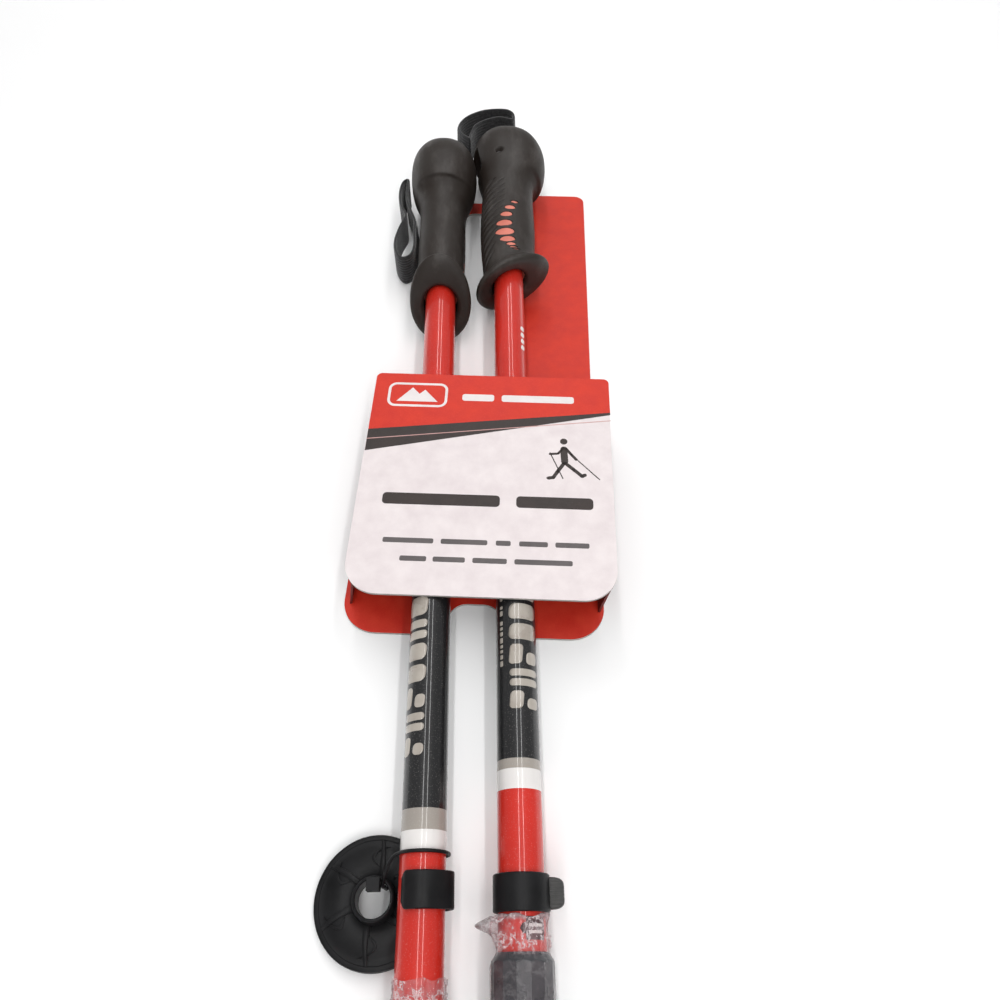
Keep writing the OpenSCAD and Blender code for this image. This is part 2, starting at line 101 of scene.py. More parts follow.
class Shader:
    """A node material on a Principled shader, with short names for its nodes."""

    def __init__(self, name, **sockets):
        self.material = bpy.data.materials.new(name)
        self.material.use_nodes = True
        self.tree = self.material.node_tree
        self.bsdf = self.tree.nodes["Principled BSDF"]
        self.place = self.node("ShaderNodeTexCoord").outputs["Object"]
        for key, value in sockets.items():
            self.set(key.replace("_", " "), value)

    def node(self, kind, **settings):
        made = self.tree.nodes.new(kind)
        for key, value in settings.items():
            setattr(made, key, value)
        return made

    def feed(self, socket, value):
        if isinstance(value, bpy.types.NodeSocket):
            self.tree.links.new(value, socket)
        elif isinstance(value, tuple) and len(value) == 3 and socket.type == "RGBA":
            socket.default_value = (*value, 1)
        else:
            socket.default_value = value

    def set(self, name, value):
        self.feed(self.bsdf.inputs[name], value)

    def math(self, operation, a, b=0.0):
        made = self.node("ShaderNodeMath", operation=operation)
        for socket, value in zip(made.inputs, (a, b)):
            self.feed(socket, value)
        return made.outputs[0]

    def dot(self, axis, origin):
        """Distance along axis from origin, in metres of the row frame."""
        made = self.node("ShaderNodeVectorMath", operation="DOT_PRODUCT")
        self.feed(made.inputs[0], self.place)
        made.inputs[1].default_value = axis
        return self.math("SUBTRACT", made.outputs["Value"], Vector(axis).dot(origin))

    def pole_distance(self, side, direction):
        """Distance from the pole's station 0, in metres, along a direction of its own frame."""
        axis = POLE[side].to_3x3() @ Vector(direction)
        return self.dot(tuple(axis), POLE[side].translation)

    def noise(self, size, detail=3.0, roughness=0.55, stretch=None):
        """Noise whose features are about size metres across."""
        place = self.place
        if stretch:
            mapping = self.node("ShaderNodeMapping")
            self.feed(mapping.inputs["Vector"], place)
            mapping.inputs["Scale"].default_value = stretch
            place = mapping.outputs["Vector"]
        made = self.node("ShaderNodeTexNoise")
        self.feed(made.inputs["Vector"], place)
        made.inputs["Scale"].default_value = 1 / size
        made.inputs["Detail"].default_value = detail
        made.inputs["Roughness"].default_value = roughness
        return made.outputs["Fac"]

    def ramp(self, value, stops, mode="LINEAR"):
        """Colours or greys at positions 0 to 1: stops is a list of (position, colour)."""
        made = self.node("ShaderNodeValToRGB")
        made.color_ramp.interpolation = mode
        self.feed(made.inputs["Fac"], value)
        elements = made.color_ramp.elements
        while len(elements) < len(stops):
            elements.new(0.5)
        for element, (position, colour) in zip(elements, stops):
            element.position = position
            element.color = (*colour, 1) if isinstance(colour, tuple) else (*(colour,) * 3, 1)
        return made.outputs["Color"]

    def range(self, value, low, high, to_low, to_high):
        made = self.node("ShaderNodeMapRange")
        for socket, number in zip(made.inputs, (value, low, high, to_low, to_high)):
            self.feed(socket, number)
        return made.outputs[0]

    def mix(self, factor, a, b, blend="MIX"):
        made = self.node("ShaderNodeMix", data_type="RGBA", blend_type=blend)
        for socket, value in zip((made.inputs["Factor"], *made.inputs[6:8]), (factor, a, b)):
            self.feed(socket, value)
        return made.outputs[2]

    def bump(self, height, distance, strength=1.0):
        made = self.node("ShaderNodeBump")
        made.inputs["Strength"].default_value = strength
        made.inputs["Distance"].default_value = distance
        self.feed(made.inputs["Height"], height)
        self.feed(self.bsdf.inputs["Normal"], made.outputs["Normal"])


def moulded(name, dark, light, roughness=0.45, grain=0.0004, depth=0.00003, **sockets):
    """Moulded plastic or rubber: mottled colour, a fine grain and uneven gloss."""
    s = Shader(name, **sockets)
    mottle = s.noise(0.012, 4)
    speck = s.noise(grain, 2)
    s.set("Base Color", s.mix(s.ramp(mottle, [(0.3, 0.0), (0.7, 1.0)]), dark, light))
    s.set("Roughness", s.range(mottle, 0.3, 0.7, roughness - 0.07, roughness + 0.08))
    s.bump(speck, depth)
    return s.material


def machined(name, colour, roughness):
    """Bare metal with fine drawn lines along the pole."""
    s = Shader(name, Metallic=1.0)
    lines = s.noise(0.0006, 2, stretch=(1, 0.04, 1))
    cloud = s.noise(0.02, 3)
    shade = tuple(0.82 * c for c in colour)
    s.set("Base Color", s.mix(s.range(lines, 0.35, 0.65, 0, 1), shade, colour))
    s.set("Roughness", s.range(cloud, 0.3, 0.7, roughness - 0.06, roughness + 0.08))
    s.bump(lines, 0.00001)
    return s.material


RED = (0.60, 0.020, 0.010)
BLACK = (0.010, 0.010, 0.011)
SILVER = (0.36, 0.325, 0.29)
WHITE = (0.80, 0.77, 0.75)

# Stations where the upper tube's black, silver, white and lower red bands begin
BANDS = {
    "left": (-0.150, -0.2917, -0.2975, -0.3085),
    "right": (-0.150, -0.2902, -0.2955, -0.3010),
}
BAND_SPAN = 0.5             # the bands' ramp runs this far to both sides of station 0


def lacquer(side):
    """The upper tube's gloss lacquer: red, with black, silver and white bands."""
    s = Shader(f"{side}_lacquer", Coat_Weight=0.75, Coat_Roughness=0.03, Roughness=0.42,
               Specular_IOR_Level=0.3)
    station = s.pole_distance(side, (0, 1, 0))
    black, silver, white, red = ((x + BAND_SPAN) / (2 * BAND_SPAN) for x in BANDS[side])
    bands = s.ramp(
        s.range(station, -BAND_SPAN, BAND_SPAN, 0, 1),
        [(0, RED), (red, WHITE), (white, SILVER), (silver, BLACK), (black, RED)],
        "CONSTANT",
    )
    cloud = s.noise(0.03, 3)
    fleck = s.noise(0.0005, 2)
    shade = s.ramp(cloud, [(0.3, 0.86), (0.7, 1.0)])
    toned = s.mix(1.0, bands, shade, "MULTIPLY")
    s.set("Base Color", s.mix(s.range(fleck, 0.6, 0.75, 0, 0.10), toned, (1, 0.95, 0.9)))
    s.bump(s.noise(0.004, 2), 0.000012)
    return s.material


# -------------------- mesh helpers


def paint(node, *materials):
    """Give a CAD node its materials, with the first one all over."""
    obj = frame["nodes"][node]
    obj.data.materials.clear()
    for material in materials:
        obj.data.materials.append(material)
    for polygon in obj.data.polygons:
        polygon.material_index = 0
    return obj


def piece(name, verts, faces, materials, body, replaces=(), smooth_shaded=True,
          merge=0.0):
    """A mesh object that rides on a body; points closer than merge become one."""
    mesh = bpy.data.meshes.new(name)
    mesh.from_pydata([tuple(v) for v in verts], [], faces)
    work = bmesh.new()
    work.from_mesh(mesh)
    if merge:
        bmesh.ops.remove_doubles(work, verts=work.verts, dist=merge)
    bmesh.ops.recalc_face_normals(work, faces=work.faces)
    work.to_mesh(mesh)
    work.free()
    for material in materials:
        mesh.materials.append(material)
    for polygon in mesh.polygons:
        polygon.use_smooth = smooth_shaded
    obj = bpy.data.objects.new(name, mesh)
    bpy.context.collection.objects.link(obj)
    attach(obj, body)
    if replaces:
        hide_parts(*replaces)
    return obj


def sharpen(obj, degrees=40):
    """Edges steeper than this stay sharp under smooth shading."""
    work = bmesh.new()
    work.from_mesh(obj.data)
    for edge in work.edges:
        if len(edge.link_faces) == 2:
            edge.smooth = edge.calc_face_angle(0) < math.radians(degrees)
    work.to_mesh(obj.data)
    work.free()
    return obj


def grid_faces(rows, columns, wrap_rows=False, wrap_columns=True):
    """Quads between rows of points, each row's points numbered on from the last's."""
    faces = []
    for i in range(rows if wrap_rows else rows - 1):
        for j in range(columns if wrap_columns else columns - 1):
            a, b = i * columns, (i + 1) % rows * columns
            k = (j + 1) % columns
            faces.append((a + j, a + k, b + k, b + j))
    return faces


def capped_faces(rows, columns, first=0):
    """Grid faces with a cap at each end, over points numbered from first."""
    faces = [tuple(v + first for v in face) for face in grid_faces(rows, columns)]
    last = first + (rows - 1) * columns
    faces.append(tuple(range(first + columns - 1, first - 1, -1)))
    faces.append(tuple(range(last, last + columns)))
    return faces


def spline(points, steps):
    """Points on the smooth curve through a row of tuples, steps to each span."""
    made = []
    last = len(points) - 1
    for i in range(last):
        a, b = points[max(i - 1, 0)], points[i]
        c, d = points[i + 1], points[min(i + 2, last)]
        for k in range(steps):
            t = k / steps
            made.append(tuple(
                q + t / 2 * (r - p) + t * t / 2 * (2 * p - 5 * q + 4 * r - s)
                + t * t * t / 2 * (3 * q - p - 3 * r + s)
                for p, q, r, s in zip(a, b, c, d)
            ))
    made.append(tuple(points[last]))
    return made


def revolve(profile, segments, matrix, shift=None):
    """A closed profile of (radius, height) turned about Z. shift(radius, height, angle)
    may return a changed (radius, height)."""
    verts = []
    for radius, height in profile:
        for j in range(segments):
            angle = 2 * math.pi * j / segments
            r, h = shift(radius, height, angle) if shift else (radius, height)
            verts.append(matrix @ Vector((r * math.cos(angle), r * math.sin(angle), h)))
    return verts, grid_faces(len(profile), segments, wrap_rows=True)


def rounded_outline(low_x, high_x, low_y, high_y, low_r, high_r, steps=8):
    """Corners of a rectangle, rounded by arcs, counterclockwise from the low left."""
    corners = [
        (low_x + low_r, low_y + low_r, low_r, 180), (high_x - low_r, low_y + low_r, low_r, 270),
        (high_x - high_r, high_y - high_r, high_r, 0), (low_x + high_r, high_y - high_r, high_r, 90),
    ]
    return [
        (x + r * math.cos(math.radians(start + 90 * k / steps)),
         y + r * math.sin(math.radians(start + 90 * k / steps)))
        for x, y, r, start in corners for k in range(steps + 1)
    ]


class Prisms:
    """Flat shapes in mm, raised by layers of print off a plane, gathered into one mesh."""

    def __init__(self, matrix):
        self.matrix, self.verts, self.faces = matrix, [], []

    def add(self, outline, layers=1):
        first, n = len(self.verts), len(outline)
        for height in (0, layers * PRINT / MM):
            self.verts += [self.matrix @ Vector((x, y, height)) for x, y in outline]
        self.faces.append(tuple(range(first + n, first + 2 * n)))
        self.faces.append(tuple(range(first + n - 1, first - 1, -1)))
        self.faces += [
            (first + i, first + (i + 1) % n, first + n + (i + 1) % n, first + n + i)
            for i in range(n)
        ]

    def ring(self, outer, inner, layers=1):
        """A flat band between two outlines with the same number of points."""
        first, n = len(self.verts), len(outer)
        low, high = 0, layers * PRINT / MM
        for outline, height in ((outer, high), (inner, high), (inner, low), (outer, low)):
            self.verts += [self.matrix @ Vector((x, y, height)) for x, y in outline]
        for band in range(4):
            a, b = first + band * n, first + (band + 1) % 4 * n
            self.faces += [(a + i, b + i, b + (i + 1) % n, a + (i + 1) % n) for i in range(n)]

    def build(self, name, material):
        return piece(name, self.verts, self.faces, [material], "sleeve",
                     smooth_shaded=False)


# -------------------- grips

# Outline of the grip at each station, in mm: (station, front, palm, side reach)
GRIP_OUTLINE = [
    (-1.2, 10.9, 10.9, 10.8), (-2.6, 12.4, 12.2, 12.0), (-3.0, 16.0, 14.6, 14.2),
    (-2.9, 20.6, 17.2, 16.4), (-1.9, 24.2, 19.2, 18.0), (0.0, 25.6, 20.0, 18.5),
    (1.9, 25.0, 19.6, 18.2), (3.6, 22.8, 18.4, 17.1), (5.4, 20.0, 16.9, 15.7), (8.0, 18.0, 15.9, 14.8),
    (12, 17.1, 15.6, 14.3), (18, 16.9, 16.0, 14.1), (26, 17.2, 16.8, 14.3), (36, 17.5, 17.4, 14.6),
    (48, 17.7, 17.6, 14.8), (60, 17.6, 17.4, 14.8), (72, 17.4, 17.0, 14.7), (82, 17.4, 16.6, 15.0),
    (88, 17.8, 17.0, 16.0), (93, 18.8, 17.8, 17.2), (98, 22.4, 18.8, 19.0), (104, 25.2, 20.0, 20.6),
    (112, 26.8, 21.2, 21.8), (121, 26.9, 22.7, 22.3), (129, 25.4, 23.0, 21.9),
    (136, 22.8, 21.0, 20.2), (142, 19.6, 17.6, 17.0), (147, 16.2, 13.2, 13.0),
    (150, 11.6, 8.6, 8.4), (151.6, 6.4, 4.2, 4.4), (152, 0.6, 0.6, 0.6),
]
HANDLE = GRIP_OUTLINE[10:]
FLANGE_SLANT = math.tan(math.radians(27.8))
# Side windows, in mm: (station, width across, height along)
WINDOWS = [
    (60.6, 4.4, 2.6), (54.6, 6.2, 3.6), (47.8, 7.0, 4.2), (39.4, 9.4, 5.2),
    (31.4, 11.0, 5.8), (24.4, 8.6, 4.4), (19.0, 5.2, 2.6), (15.6, 4.8, 1.3), (12.6, 4.4, 1.2),
]
CORE_R = 12.0
# Slanting grooves on the palm, in mm
RIBS, RIB_PITCH, RIB_DEPTH, RIB_WIDTH = 13, 5.6, 2.21, 1.35
# Cross-pin's place, and how deep its hole and the strap's mouth go, in mm from the axis
PIN_STATION, PIN_X, PIN_END, MOUTH_END = 108.0, -5.0, 17.8, 16.6


def window_shift(station):
    """The row of windows curves: its ends lie nearer the front."""
    return -2.4 + 6.2 * ((station - 37) / 22) ** 2


def slant_at(station):
    """How far the flange's slant moves a point along the pole, for each mm to the front."""
    return FLANGE_SLANT * (1 - smooth(5, 40, station))


def rib_groove(station, around):
    """Depth of the palm's grooves; around is the angle in degrees from the palm's middle."""
    far = 56 + 26 * smooth(20, 66, station)
    reach = 1 - smooth(far - 12, far + 4, abs(around))
    edge = smooth(2, 9, abs(around))
    if reach * edge == 0:
        return 0.0
    along = station - 9.0 - abs(around) * 0.17
    index = round(along / RIB_PITCH)
    if not 0 <= index < RIBS:
        return 0.0
    off = abs(along - index * RIB_PITCH)
    thin = 0.35 + 0.65 * (1 - smooth(34, far + 4, abs(around)))
    return RIB_DEPTH * reach * edge * (1 - smooth(0.45, 1.0, off / (RIB_WIDTH * thin)))


def press_windows(station, x, z, inside):
    """z with the windows pressed in to the core; inside is true on the rubber's bore."""
    if abs(x) >= 8 or not 9 < station < 66:
        return z
    below = 0.8 if inside else 0.5
    floor = math.sqrt(max((CORE_R - below) ** 2 - x * x, 1))
    for middle, width, height in WINDOWS:
        shift = window_shift(middle)
        along = station - middle + slant_at(station) * (x - shift)
        if abs(along) <= height:
            off_centre = math.hypot((x - shift) / (width / 2), along / (height / 2))
            z = z + (1 - smooth(0.86, 1.12, off_centre)) * math.copysign(abs(z) - floor, -z)
    return z


def press_head(station, x, z):
    """x and z with the cross-pin's holes and the strap's mouth pressed into the head."""
    hole = 1 - smooth(2.0, 2.6, math.hypot(x - PIN_X, station - PIN_STATION))
    z = z + hole * math.copysign(max(abs(z) - PIN_END, 0), -z)
    mouth = ((1 - smooth(11.0, 12.4, abs(z))) * smooth(102, 104, station)
             * (1 - smooth(122.6, 124.6, station)))
    if x < 0:
        x = x + mouth * max(-x - MOUTH_END, 0)
    return x, z


def grip_point(ring, angle):
    """The rubber's surface at a row of its outline and an angle round it."""
    station, front, palm, side = ring
    c, s = math.cos(angle), math.sin(angle)
    square = 0.90 if station > 6 else 1.0
    x = math.copysign(abs(c) ** square, c) * (front if c > 0 else palm)
    z = math.copysign(abs(s) ** square, s) * side
    inside = front == side
    if not inside and 6 < station < 86:
        around = math.degrees(math.atan2(z, -x))
        shrink = rib_groove(station, around) / math.hypot(x, z)
        x, z = x * (1 - shrink), z * (1 - shrink)
    z = press_windows(station, x, z, inside)
    if station > 100 and not inside:
        x, z = press_head(station, x, z)
    lip = 3.6 * smooth(95, 101, station) * (1 - smooth(101, 124, station)) * smooth(0.1, 0.95, c)
    crown = 2.4 * smooth(136, 149, station) * clamp(x / 20, -0.4, 1)
    return Vector((x, station + slant_at(station) * x - lip - crown, z)) * MM


def grip(side, material):
    """Rubber grip: slanted flange, ribbed palm, windows onto the core, and a lipped head."""
    segments = 168
    inner = [(98.2, 0.6), (98.2, CORE_R + 0.05), (9.0, CORE_R + 0.05), (9.0, 10.5), (-1.0, 10.5)]
    outline = [(s, r, r, r) for s, r in inner] + spline(GRIP_OUTLINE, 8)
    dense = []
    for a, b in zip(outline, outline[1:]):
        spans = max(1, round(abs(b[0] - a[0]) / 0.42))
        dense += [tuple(p + (q - p) * k / spans for p, q in zip(a, b)) for k in range(spans)]
    dense.append(outline[-1])
    verts = [
        GRIP[side] @ grip_point(ring, 2 * math.pi * j / segments)
        for ring in dense for j in range(segments)
    ]
    return piece(f"{side}_grip_rubber", verts, capped_faces(len(dense), segments), [material],
                 f"{side}_pole", [f"{side}_grip"], merge=0.00001)


def side_reach(station):
    """Side to side half width of the grip's rubber at a station, in mm."""
    for a, b in zip(HANDLE, HANDLE[1:]):
        if a[0] <= station <= b[0]:
            return a[3] + (b[3] - a[3]) * (station - a[0]) / (b[0] - a[0])
    return HANDLE[0][3]


def core_pads(side, material):
    """The core's domed pads, which fill the windows almost to the rubber's face."""
    verts, faces, rings, segments = [], [], 6, 40
    for middle, width, height in WINDOWS:
        shift = window_shift(middle)
        drop = 0.12 if width > 5 else 0.4
        for face in (1, -1):
            first = len(verts)
            for ring in range(rings + 2):
                size = 1.06 * min(1, (ring + 0.05) / rings)
                for j in range(segments):
                    a = math.tau * j / segments
                    x = shift + size * width / 2 * math.cos(a)
                    station = middle + size * height / 2 * math.sin(a)
                    dome = math.sqrt(1 - (x / 17) ** 2)
                    top = side_reach(station) * dome - drop - 0.15 * size ** 3
                    z = 10.9 if ring > rings else top
                    point = Vector((x, station + slant_at(middle) * shift, face * z))
                    verts.append(GRIP[side] @ (point * MM))
            faces += capped_faces(rings + 2, segments, first)
    obj = piece(f"{side}_core_pads", verts, faces, [material], f"{side}_pole")
    return sharpen(obj, 50)


# -------------------- card sleeve

CARD_TURN = 3.0             # degrees
PANEL_W, PANEL_H, CARD_T = 126.0, 132.0, 1.4


def panel_matrix():
    """The front panel's face: origin at the middle of its top edge, X right, Y up the card."""
    low, high = (Vector(c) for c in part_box("card_front"))
    tilt = math.atan2(POLE["left"].col[1].z, POLE["left"].col[1].y)
    m = Matrix.Translation((low + high) / 2) @ Matrix.Rotation(tilt, 4, "X") @ turn("Z", -CARD_TURN)
    return m @ Matrix.Translation((0, PANEL_H / 2 * MM, CARD_T / 2 * MM)) @ Matrix.Scale(MM, 4)


def printed(name, a, b, roughness=0.5, fibre=0.05):
    """Printed card: ink mottle, paper fibre and a slight satin."""
    s = Shader(name, Specular_IOR_Level=0.35)
    fine = s.noise(0.0007, 3)
    broad = s.noise(0.009, 4)
    toned = s.mix(s.range(broad, 0.3, 0.7, 0, 1), a, b)
    pale = tuple(min(1, 1.5 * c + 0.05) for c in b)
    s.set("Base Color", s.mix(s.range(fine, 0.52, 0.8, 0, fibre * 3), toned, pale))
    s.set("Roughness", s.range(broad, 0.3, 0.7, roughness - 0.06, roughness + 0.08))
    s.bump(s.noise(0.0009, 3), 0.00002)
    return s.material


def board_edge():
    """Cut edge of layered board: grey liner between white faces, with rough fibre."""
    s = Shader("board_edge", Roughness=0.85)
    ragged = s.math("MULTIPLY", s.noise(0.006), 0.0003)
    height = s.math("ADD", s.dot((0, 0, 1), Vector((0, 0, 0))), ragged)
    layer = s.math("FRACT", s.math("MULTIPLY", height, 1 / (CARD_T * MM)))
    bands = s.ramp(layer, [
        (0.0, (0.5, 0.47, 0.45)), (0.2, (0.16, 0.15, 0.14)), (0.42, (0.6, 0.57, 0.54)),
        (0.62, (0.2, 0.19, 0.18)), (0.8, (0.66, 0.63, 0.6)),
    ])
    s.set("Base Color", s.mix(s.noise(0.0008), bands, (0.3, 0.28, 0.26)))
    s.bump(s.noise(0.0005, 3), 0.00008)
    return s.material


def words(prisms, base, height, spans, layers=1):
    """A line of print shown as one rounded bar for each word; spans are (from, to)."""
    for start, end in spans:
        corner = height * 0.3
        prisms.add(rounded_outline(start, end, base, base + height, corner, corner, 5), layers)


def limb(prisms, points, width):
    """Thick line through points with round joints, for the pictogram."""
    for (x, y), (u, v) in zip(points, points[1:]):
        along = math.atan2(v - y, u - x)
        outline = [(cx + width / 2 * math.cos(along + a), cy + width / 2 * math.sin(along + a))
                   for cx, cy, start in ((u, v, -90), (x, y, 90))
                   for a in (math.radians(start + 30 * k) for k in range(7))]
        prisms.add(outline)


def slope(at_left, at_right):
    """A line across the panel, given as distances down from its top edge."""
    half = PANEL_W / 2 - 0.02
    return [(-half, -at_left), (half, -at_right)]


def walker(prisms):
    """Pictogram of a walker with two poles."""
    around = [k / 24 * math.tau for k in range(24)]
    prisms.add([(38.4 + 1.9 * math.cos(a), -43.2 + 1.9 * math.sin(a)) for a in around])
    limb(prisms, [(38.4, -48.2), (38.8, -56)], 3.6)
    limb(prisms, [(38.2, -47.6), (35.4, -51), (31.4, -51.4)], 1.3)
    limb(prisms, [(39.4, -47.6), (42.2, -51.4), (44.6, -54.4)], 1.5)
    limb(prisms, [(38.4, -57), (35.4, -61.8), (33.0, -65.8), (30.6, -66.2)], 1.9)
    limb(prisms, [(39.2, -57), (43.2, -60.6), (47.4, -64.6), (48.8, -63.8)], 1.9)
    limb(prisms, [(31.4, -50.6), (37.8, -66.2)], 0.55)
    limb(prisms, [(44.2, -53.6), (56, -66.2)], 0.55)


def badge(prisms):
    """Framed mountain shape with bars beside it, on top of the header's print."""
    prisms.ring(rounded_outline(-55.5, -23.5, -23, -6.5, 4.5, 4.5),
                rounded_outline(-54.1, -24.9, -21.6, -7.9, 3.1, 3.1), 2)
    prisms.add([(-50.5, -19.4), (-42.5, -9.8), (-38.6, -14.2), (-35.8, -11.2), (-28.5, -19.4)], 2)
    words(prisms, -18.0, 4.6, [(-15.5, 1.5), (5.5, 44)], 2)


def card_print(red, white, dark, grey, pink):
    """Printing on the front panel: red header, dark wedge, fine line and plain shapes."""
    names = ("header", "wedge", "fine_line", "title_bars", "small_bars", "walker", "badge")
    inks = (red, dark, pink, dark, grey, dark, white)
    shapes = {name: Prisms(panel_matrix()) for name in names}
    half = PANEL_W / 2 - 0.02
    top = [p for p in rounded_outline(-half, half, -20, 0, 0.01, 3) if p[1] > -19]
    shapes["header"].add(slope(38.8, 23.3) + top)
    shapes["wedge"].add(slope(52.6, 24.9) + slope(38.8, 23.3)[::-1])
    shapes["fine_line"].add(slope(45.3, 28.9) + slope(44.8, 28.5)[::-1], 2)
    words(shapes["title_bars"], -84.2, 6.6, [(-50.5, 7.0), (15.0, 52.5)])
    words(shapes["small_bars"], -105.6, 2.7, [(-47.5, -23.5), (-20, 2), (6, 13), (17, 30.5), (34, 50)])
    words(shapes["small_bars"], -115.2, 2.7, [(-38.5, -26), (-23, -8), (-4.5, 11.5), (15, 42)])
    walker(shapes["walker"])
    badge(shapes["badge"])
    for name, ink in zip(names, inks):
        shapes[name].build(f"card_{name}", ink)


def card(materials):
    """CAD panels: printed faces, layered edges and plain insides; the side panels get a darker red that is
    painted shade.
    """
    face_of = {"card_front": "white", "card_back": "red", "card_left_side": "side",
               "card_right_side": "side"}
    for node, face in face_of.items():
        obj = paint(node, materials[face], materials["edge"], materials["inside"])
        for polygon in obj.data.polygons:
            facing = polygon.normal.z
            if not node.endswith("side") and facing < 0.5:
                polygon.material_index = 1 if facing > -0.5 else 2


# -------------------- tubes


def tube_patches(name, side, shapes, material, lift=0.05):
    """Thin printed shapes wrapped on the upper tube. A shape is rows of (station, from, to),
    in mm, where from and to are distances round the tube from its top, to the right."""
    radius = TUBE_R / MM
    verts, faces, columns = [], [], 9
    for rows in shapes:
        first = len(verts)
        for station, start, end in rows:
            for lower in (False, True):
                for k in range(columns):
                    j = columns - 1 - k if lower else k
                    angle = (start + (end - start) * j / (columns - 1)) / radius
                    r = radius - 0.04 if lower else radius + lift
                    verts.append(on_pole(side, r * math.sin(angle), station, r * math.cos(angle)))
        faces += capped_faces(len(rows), 2 * columns, first)
    return piece(name, verts, faces, [material], f"{side}_pole")


def rounded_rows(low, high, start, end, r, lean=0.0, steps=5):
    """Rows of a rounded rectangle along the tube, leaning sideways as it goes."""
    rows = []
    for k in range(steps + 1):
        a = math.radians(90 * k / steps)
        inset = r * (1 - math.sin(a))
        rows.append((low + r * (1 - math.cos(a)), start + inset, end - inset))
    rows += [(low + high - s, a, b) for s, a, b in reversed(rows)]
    middle = (low + high) / 2
    return [(s, a + lean * (s - middle), b + lean * (s - middle)) for s, a, b in rows]


def tube_print(side, silver, white):
    """Abstract rounded shapes and a fine broken line, where the real tube has its print."""
    middle, half = {"left": (-5.9, 5.4), "right": (3.5, 6.9)}[side]
    rng = random.Random(4)
    low, high = middle - half, middle + half
    shapes, station = [], -269.0
    while station < -196:
        length = rng.choice((7.5, 9.0, 10.5))
        parts = (
            [(0, 1, low, high, 2.6)],
            [(0, 1, low, middle - 0.9, 1.8), (0, 0.62, middle + 0.7, high, 1.8)],
            [(0, 0.42, low, high, 1.5), (0.58, 1, low, high, 1.5)],
        )[rng.randrange(3)]
        shapes += [rounded_rows(station + length * a, station + length * b, *rest, 0.10)
                   for a, b, *rest in parts]
        station += length + 2.2
    tube_patches(f"{side}_tube_shapes", side, shapes, silver)
    if side == "right":
        ticks, station = [], -250.0
        while station < -152:
            length = rng.choice((1.4, 1.9, 2.4))
            ticks.append(rounded_rows(station, station + length, -8.3, -6.6, 0.4))
            station += length + rng.choice((0.9, 0.9, 2.6))
        tube_patches("right_tube_ticks", side, ticks, silver)
        marks = [rounded_rows(-62 + 5 * k, -58.6 + 5 * k, 7.0, 10.4, 1.0, 0.2) for k in range(4)]
        tube_patches("right_tube_marks", side, marks, white)


# -------------------- film

FILM_R, FILM_WALL = 9.25, 0.10
FILM_TO = -404.0
# Where the film begins, and where its loose crumpled part ends
FILM_REACH = {"left": (-345.4, -357.0), "right": (-344.2, -354.5)}


def film(side, material):
    """Thin film: crumpled where it is gathered on the tube, drawn smoother over the collar."""
    high, calm = FILM_REACH[side]
    seed = {"left": 3.0, "right": 11.0}[side]
    rows, segments = 150, 200
    verts = []
    for wall in (0.0, FILM_WALL):
        for i in range(rows):
            t = i / (rows - 1) if wall == 0 else 1 - i / (rows - 1)
            station = high + (FILM_TO - high) * t
            over = 1 - smooth(-361.0, -354.0, station)
            crumple = smooth(calm - 3, calm + 1, station) * 0.92 + 0.08
            for j in range(segments):
                angle = math.tau * j / segments
                c, s = math.cos(angle), math.sin(angle)
                q = Vector((c * 1.5, s * 1.5, station * 0.07 + seed))
                ridge = 1 - abs(noise.noise(q * 1.6)) * 2.6
                fine = 1 - abs(noise.noise(q * 3.1)) * 2.4
                lift = crumple * (1.15 * max(ridge, 0) ** 2 + 0.6 * max(fine, 0) ** 2)
                flap = 0.0
                if side == "right":
                    # a loose tail stands off the tube's left side
                    flap = 9.5 * math.exp(-((station + 347.5) / 2.6) ** 2) * max(0, -c) ** 7 * (
                        0.8 + 0.4 * noise.noise(q * 2.2))
                r = FILM_R + 2.75 * over + lift + flap - wall
                ragged = 1.6 * noise.noise(Vector((c * 1.8, s * 1.8, seed))) * (1 - smooth(0, 0.12, t))
                verts.append(on_pole(side, r * c, station + ragged, r * s))
    faces = grid_faces(2 * rows, segments, wrap_rows=True)
    return piece(f"{side}_film", verts, faces, [material], f"{side}_pole",
                 [f"{side}_film_sleeve"])


def film_material(side):
    """Clear film: a faint milky haze, with pink and white painted highlights along the creases where it is
    crumpled, and next to nothing over the collar.
    """
    s = Shader(f"{side}_clear_film", Roughness=0.12, IOR=1.5, Specular_IOR_Level=0.7)
    station = s.pole_distance(side, (0, 1, 0))
    across = s.pole_distance(side, (1, 0, 0))
    loose = s.range(station, -0.3570, -0.3545, 0.10, 1.0)
    tail = s.range(across, -0.0125, -0.0112, 0.72, 0.0)
    brim = s.range(station, -0.3462, -0.3448, 0.0, 0.5)
    top = s.math("MULTIPLY", s.math("MAXIMUM", tail, brim), {"left": 0.0, "right": 1.0}[side])
    crease = s.noise(0.0075, 6, 0.66)
    # Pink and white painted highlights along the creases, in both colour and opacity.
    crease_highlights = s.ramp(crease, [(0.45, 0.0), (0.495, 1.0), (0.515, 0.25), (0.58, 0.0)])
    haze = s.range(s.noise(0.012, 3), 0.45, 0.68, 0, 0.12)
    tint = s.mix(crease_highlights, (0.60, 0.36, 0.38), (0.95, 0.88, 0.89))
    s.set("Base Color", s.mix(top, tint, (0.30, 0.29, 0.29)))
    body = s.math("ADD", s.math("MULTIPLY", crease_highlights, 0.34), s.math("ADD", haze, 0.07))
    s.set("Alpha", s.math("ADD", s.math("MULTIPLY", body, loose), top))
    s.bump(crease, 0.0009, 0.8)
    return s.material


